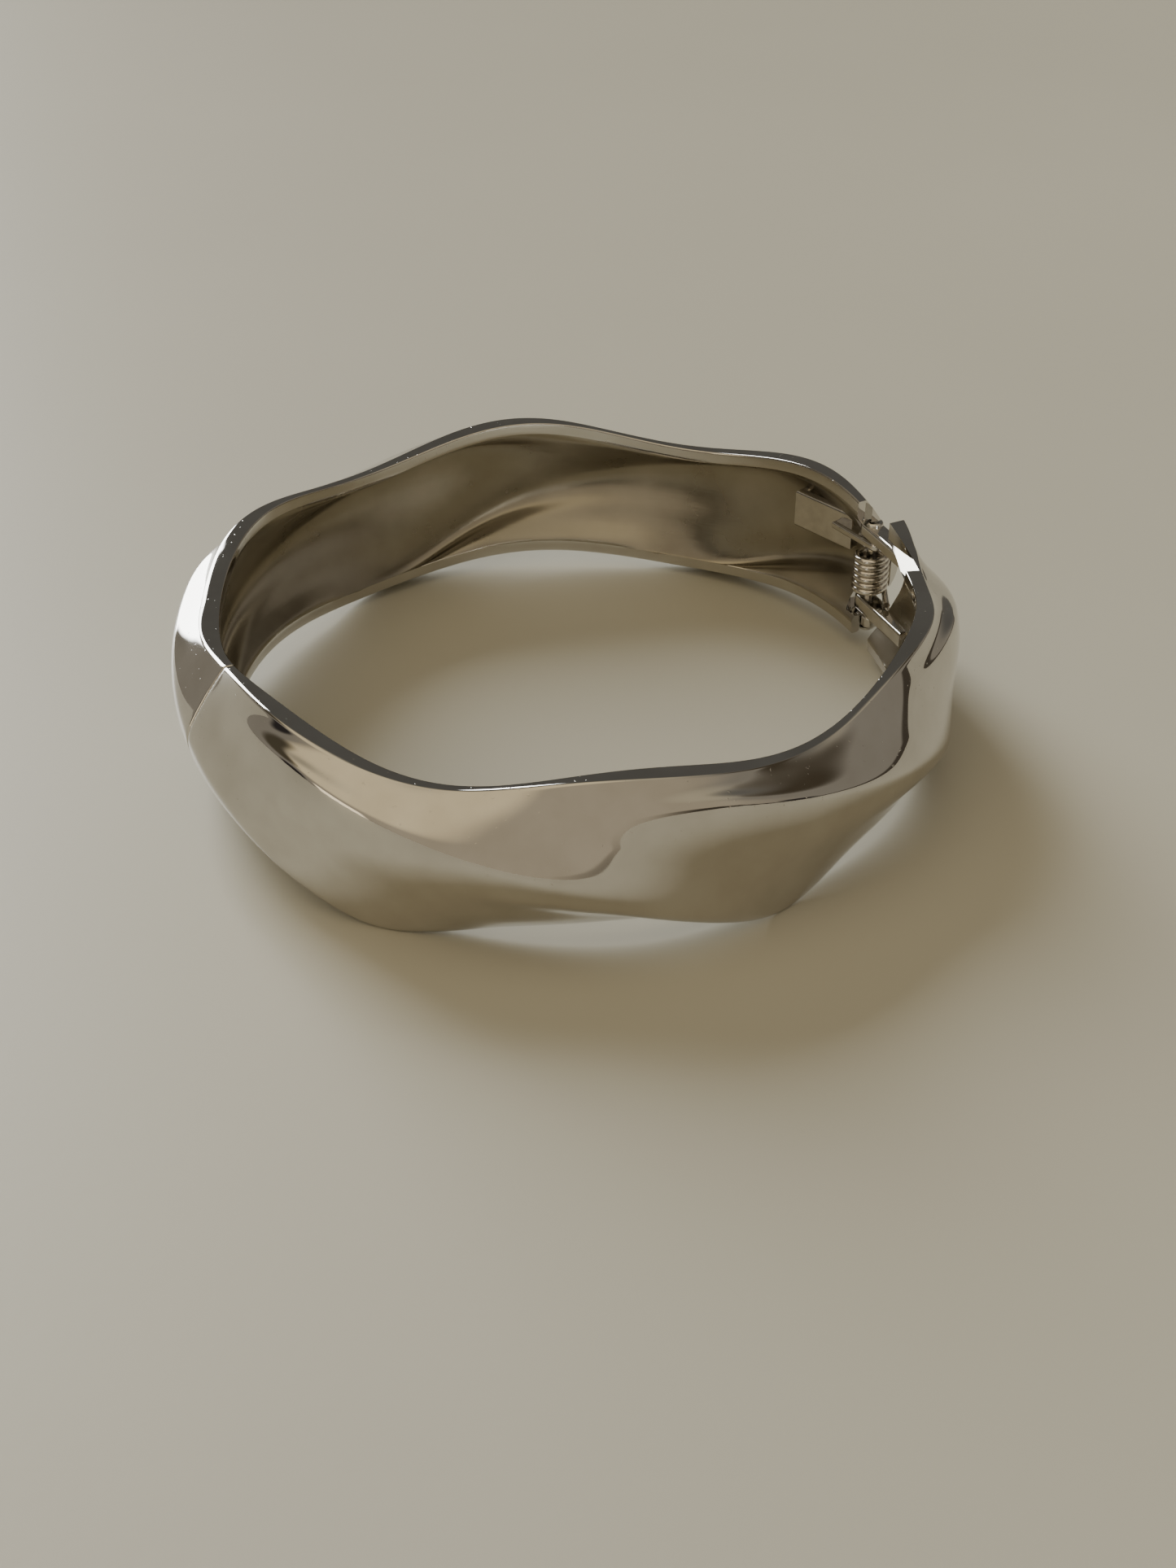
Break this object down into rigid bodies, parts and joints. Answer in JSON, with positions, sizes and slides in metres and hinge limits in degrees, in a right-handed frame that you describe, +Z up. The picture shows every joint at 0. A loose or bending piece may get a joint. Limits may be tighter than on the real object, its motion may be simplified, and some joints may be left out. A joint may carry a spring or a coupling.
{
  "type": "hinged bangle bracelet",
  "caption": "Twisted-wave hinged bangle bracelet: two hollow polished half shells that butt together and open on a pin hinge with a coil spring.",
  "frame": {"origin": "centre of the wrist opening, on the plane the bangle lies on", "axes": "+Z up, out of the upper rim; +X from the free ends' joint towards the hinge; +Y towards the half that opens"},
  "size_m": [0.0669, 0.0638, 0.0153],
  "materials": {
    "plated_shell": "mirror-polished silver-coloured plating",
    "plated_hinge": "polished plating",
    "pin_steel": "drawn steel",
    "spring_wire": "bright drawn wire"
  },
  "bodies": {
    "front_half": {"front_shell": "plated_shell", "front_upper_lug": "plated_hinge", "front_lower_lug": "plated_hinge", "hinge_pin": "pin_steel", "torsion_spring": "spring_wire"},
    "back_half": {"back_shell": "plated_shell", "back_upper_lug": "plated_hinge", "back_lower_lug": "plated_hinge", "spring_cover_bar": "plated_hinge"}
  },
  "joints": [
    {"name": "hinge", "type": "hinge", "parent": "front_half", "child": "back_half", "pos_m": [0.0307, 0.0018, 0], "axis": [0, 0, -1], "range_deg": [0, 50], "stiffness_Nm_per_rad": 0.1, "springref_deg": -34.38, "deforming": ["torsion_spring"]}
  ]
}
